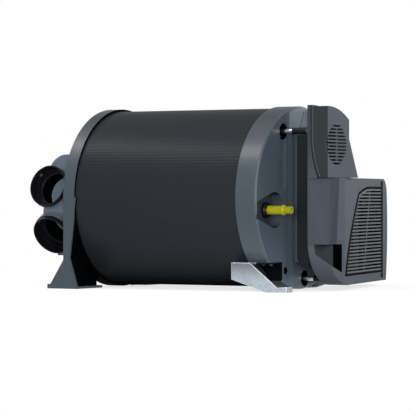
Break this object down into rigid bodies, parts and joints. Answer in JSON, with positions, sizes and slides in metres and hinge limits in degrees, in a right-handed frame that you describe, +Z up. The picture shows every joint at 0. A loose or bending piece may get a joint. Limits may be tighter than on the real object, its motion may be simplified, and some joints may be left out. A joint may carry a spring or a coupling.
{
  "type": "combined air and water heater",
  "caption": "Caravan heater for warm air and water: fluted barrel, duct outlets, water fittings, fan box with intake grille and foot brackets.",
  "frame": {"origin": "on the floor, under the middle of the heater's box", "axes": "+X along the barrel towards the control end, +Y to the flue side, +Z up"},
  "size_m": [0.519, 0.4484, 0.301],
  "materials": {
    "grey_moulding": "fine-grained mid grey moulding",
    "ring_moulding": "smooth mid grey moulding with a soft sheen",
    "black_moulding": "black moulding",
    "dark_moulding": "dark grey moulding",
    "jacket": "dark fluted jacket",
    "insulation": "light fibre mat",
    "stainless": "drawn stainless steel",
    "cast_alloy": "as cast",
    "galvanised": "galvanised sheet",
    "steel_pin": "bright turned steel",
    "brass": "turned brass",
    "yellow_plastic": "bright yellow moulding",
    "board": "coated circuit board",
    "motor": "grey motor can"
  },
  "bodies": {
    "heater": {"duct_cap": "grey_moulding", "front_upper_outlet": "black_moulding", "front_lower_outlet": "black_moulding", "rear_upper_outlet": "black_moulding", "rear_lower_outlet": "black_moulding", "barrel_jacket": "jacket", "insulation": "insulation", "water_tank": "stainless", "heat_exchanger": "cast_alloy", "burner": "stainless", "exhaust_pipe": "stainless", "flue_socket": "dark_moulding", "end_cover": "ring_moulding", "hot_water_fitting": "yellow_plastic", "fitting_collar": "black_moulding", "cold_water_fitting": "black_moulding", "water_sensor": "brass", "tie_pins": "steel_pin", "pin_sleeves": "black_moulding", "neck_duct": "dark_moulding", "carrier_plate": "dark_moulding", "fan_housing": "grey_moulding", "fan_box_back": "dark_moulding", "intake_grille": "grey_moulding", "electronics_cover": "grey_moulding", "control_board": "board", "circulation_motor": "motor", "combustion_fan_case": "dark_moulding", "combustion_motor": "motor", "gas_valve": "brass", "gas_inlet": "stainless", "gas_nut": "brass", "front_foot_bracket": "galvanised", "rear_foot_bracket": "galvanised", "bracket_screws": "steel_pin"},
    "circulation_fan": {"circulation_impeller": "black_moulding", "circulation_shaft": "steel_pin"},
    "combustion_fan": {"combustion_impeller": "black_moulding", "combustion_shaft": "steel_pin"}
  },
  "joints": [
    {"name": "circulation_spin", "type": "hinge", "parent": "heater", "child": "circulation_fan", "pos_m": [0.1655, 0.14317, 0.096], "axis": [1, 0, 0], "continuous": true},
    {"name": "combustion_spin", "type": "hinge", "parent": "heater", "child": "combustion_fan", "pos_m": [0.2115, -0.04683, 0.151], "axis": [1, 0, 0], "continuous": true}
  ]
}
